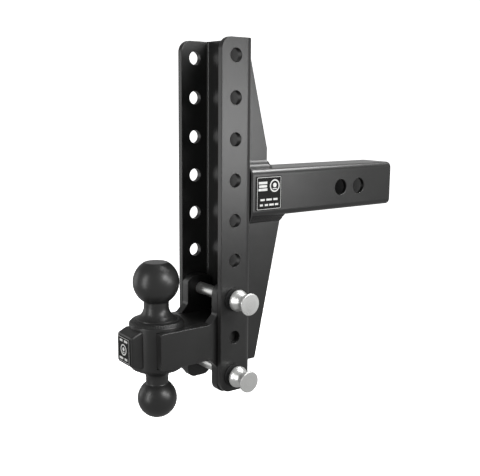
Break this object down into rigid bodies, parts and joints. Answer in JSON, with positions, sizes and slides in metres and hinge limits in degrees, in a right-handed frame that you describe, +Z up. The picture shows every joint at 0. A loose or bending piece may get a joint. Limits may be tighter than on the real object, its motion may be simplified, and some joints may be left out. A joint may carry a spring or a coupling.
{
  "type": "adjustable trailer hitch with two balls",
  "caption": "Adjustable drop hitch: drilled U channel on a square receiver shank, with a sliding two-ball mount held by pull pins.",
  "frame": {"origin": "where the axis of the rear receiver-pin hole crosses the shank's own axis", "axes": "+X across, towards the pull-pin heads; +Y along the shank into the receiver tube, with the balls at the -Y end; +Z up"},
  "size_m": [0.1455, 0.4401, 0.4794],
  "materials": {
    "frame_black": "satin black powder coat",
    "weld_black": "powder coat over weld beads",
    "ball_black": "satin black coating on turned steel",
    "pin_steel": "bright turned stainless steel",
    "clip_wire": "zinc plated spring wire",
    "plate_print": "black printed aluminium foil plate with pale border",
    "washer_rubber": "matt black rubber"
  },
  "bodies": {
    "hitch_frame": {"channel": "frame_black", "shank": "frame_black", "shank_weld_right": "weld_black", "shank_weld_left": "weld_black", "upper_gusset": "frame_black", "upper_gusset_foot_weld": "weld_black", "upper_gusset_web_weld_right": "weld_black", "upper_gusset_web_weld_left": "weld_black", "lower_gusset": "frame_black", "lower_gusset_foot_weld": "weld_black", "lower_gusset_web_weld_right": "weld_black", "lower_gusset_web_weld_left": "weld_black", "rating_plate": "plate_print"},
    "ball_mount": {"side_plate_right": "frame_black", "side_plate_left": "frame_black", "tongue_core": "frame_black", "ball_boss": "frame_black", "nose_block": "frame_black", "nose_plate": "plate_print", "upper_ball": "ball_black", "upper_ball_weld": "weld_black", "lower_ball": "ball_black", "lower_ball_weld": "weld_black"},
    "upper_pull_pin": {"upper_pin": "pin_steel", "upper_pin_washer": "washer_rubber"},
    "lower_pull_pin": {"lower_pin": "pin_steel", "lower_pin_washer": "washer_rubber"},
    "upper_hairpin": {"upper_clip": "clip_wire"},
    "lower_hairpin": {"lower_clip": "clip_wire"}
  },
  "joints": [
    {"name": "height_slide", "type": "slide", "parent": "hitch_frame", "child": "ball_mount", "axis": [0, 0, 1], "range_m": [0, 0.3048]},
    {"name": "upper_pin_float", "type": "slide", "parent": "ball_mount", "child": "upper_pull_pin", "axis": [1, 0, 0], "range_m": [0, 0.006]},
    {"name": "lower_pin_float", "type": "slide", "parent": "ball_mount", "child": "lower_pull_pin", "axis": [1, 0, 0], "range_m": [0, 0.006]},
    {"name": "upper_clip_pull", "type": "slide", "parent": "upper_pull_pin", "child": "upper_hairpin", "axis": [0, 0, 1], "range_m": [0, 0.032]},
    {"name": "lower_clip_pull", "type": "slide", "parent": "lower_pull_pin", "child": "lower_hairpin", "axis": [0, 0, 1], "range_m": [0, 0.032]}
  ]
}
